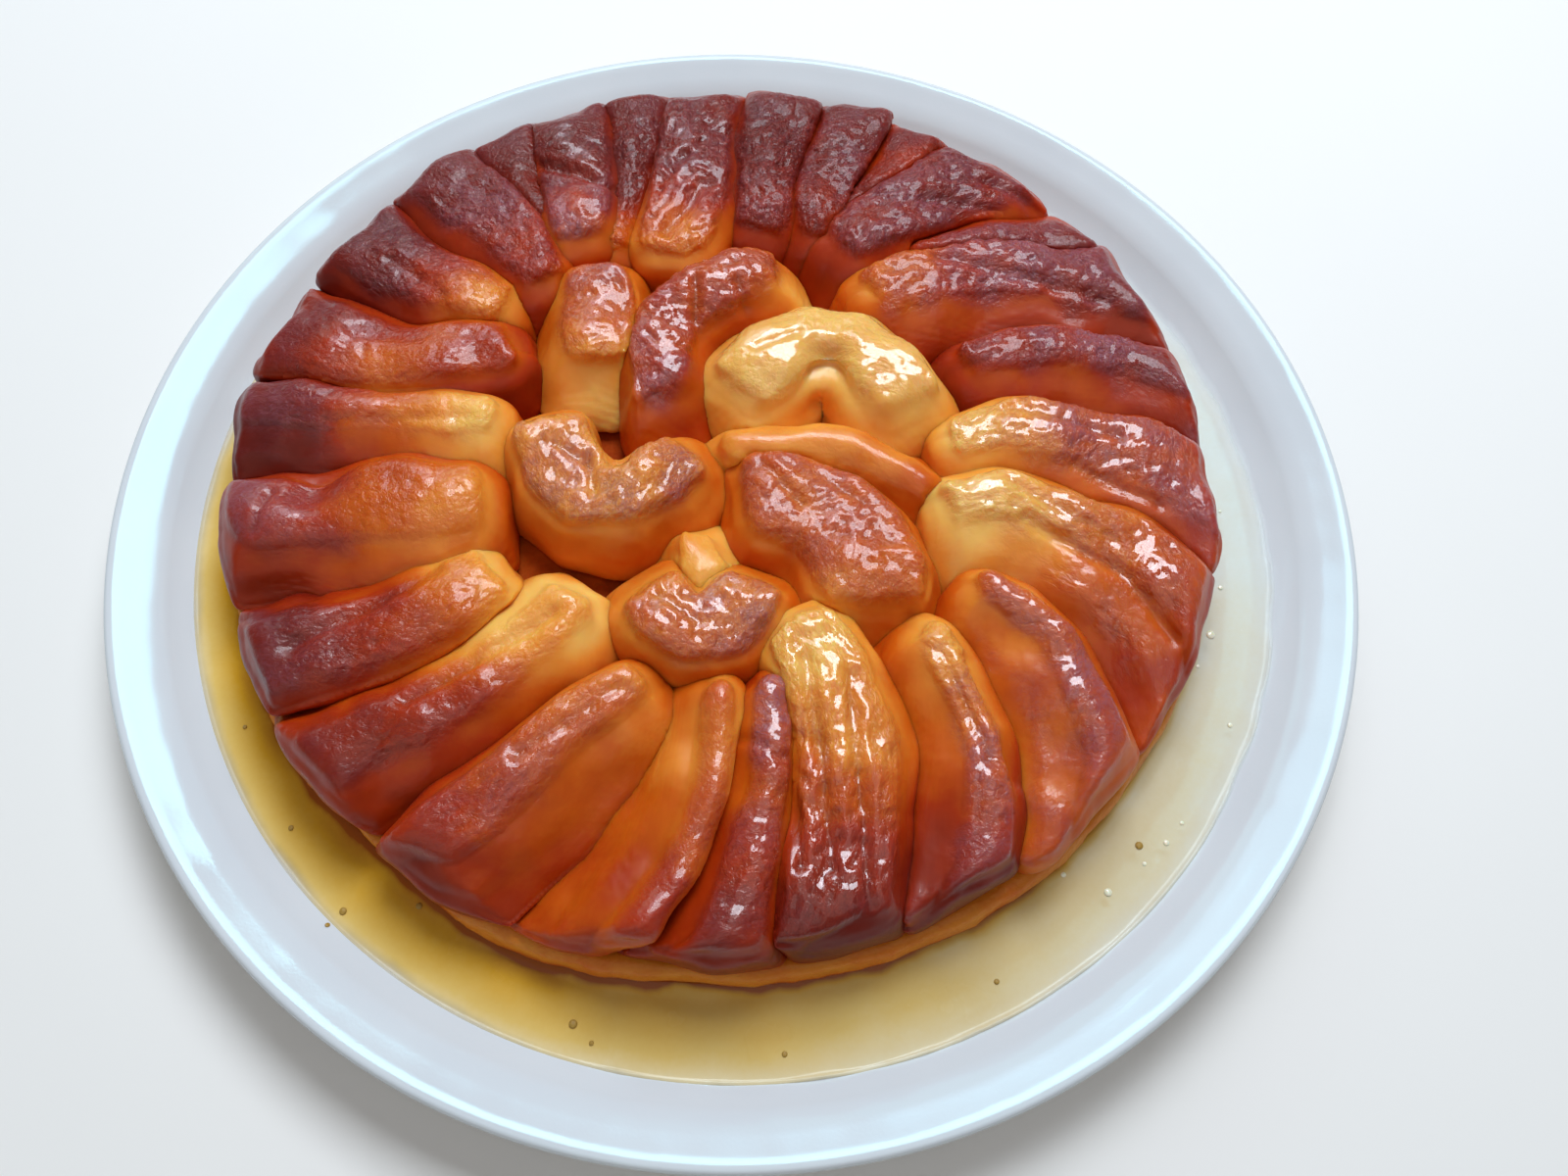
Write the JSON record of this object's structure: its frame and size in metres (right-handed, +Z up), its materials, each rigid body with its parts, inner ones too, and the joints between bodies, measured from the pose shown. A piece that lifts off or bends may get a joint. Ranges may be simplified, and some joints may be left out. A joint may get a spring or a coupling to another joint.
{
  "type": "tarte tatin",
  "caption": "Caramelised fruit wedges fanned over a low pastry disc, with a loose rosette in the middle, in a pool of caramel juice on a round white dinner plate.",
  "frame": {"origin": "centre of the plate's foot ring, on the surface that the plate stands on", "axes": "+Z up, +Y away from the side that the diner sees, +X to the right"},
  "size_m": [0.3, 0.3, 0.0388],
  "materials": {
    "porcelain": "glossy white glaze",
    "juice": "thin golden caramel syrup, wet gloss",
    "shortcrust": "baked pastry, crumbly, soaked and darker at its foot",
    "fruit": "soft caramelised fruit, golden to mahogany, wrinkled and glossy"
  },
  "bodies": {
    "root": {"plate": "porcelain", "juice_pool": "juice", "pastry_base": "shortcrust", "wedge_outer_01": "fruit", "wedge_outer_02": "fruit", "wedge_outer_03": "fruit", "wedge_outer_04": "fruit", "wedge_outer_05": "fruit", "wedge_outer_06": "fruit", "wedge_outer_07": "fruit", "wedge_outer_08": "fruit", "wedge_outer_09": "fruit", "wedge_outer_10": "fruit", "wedge_outer_11": "fruit", "wedge_outer_12": "fruit", "wedge_outer_13": "fruit", "wedge_outer_14": "fruit", "wedge_outer_15": "fruit", "wedge_outer_16": "fruit", "wedge_outer_17": "fruit", "wedge_outer_18": "fruit", "wedge_outer_19": "fruit", "wedge_outer_20": "fruit", "wedge_outer_21": "fruit", "wedge_outer_22": "fruit", "wedge_outer_23": "fruit", "wedge_outer_24": "fruit", "wedge_outer_25": "fruit", "wedge_outer_26": "fruit", "wedge_inner_01": "fruit", "wedge_inner_02": "fruit", "wedge_inner_03": "fruit", "wedge_inner_04": "fruit", "wedge_inner_05": "fruit", "wedge_inner_06": "fruit", "wedge_inner_07": "fruit", "wedge_inner_08": "fruit"}
  },
  "joints": []
}
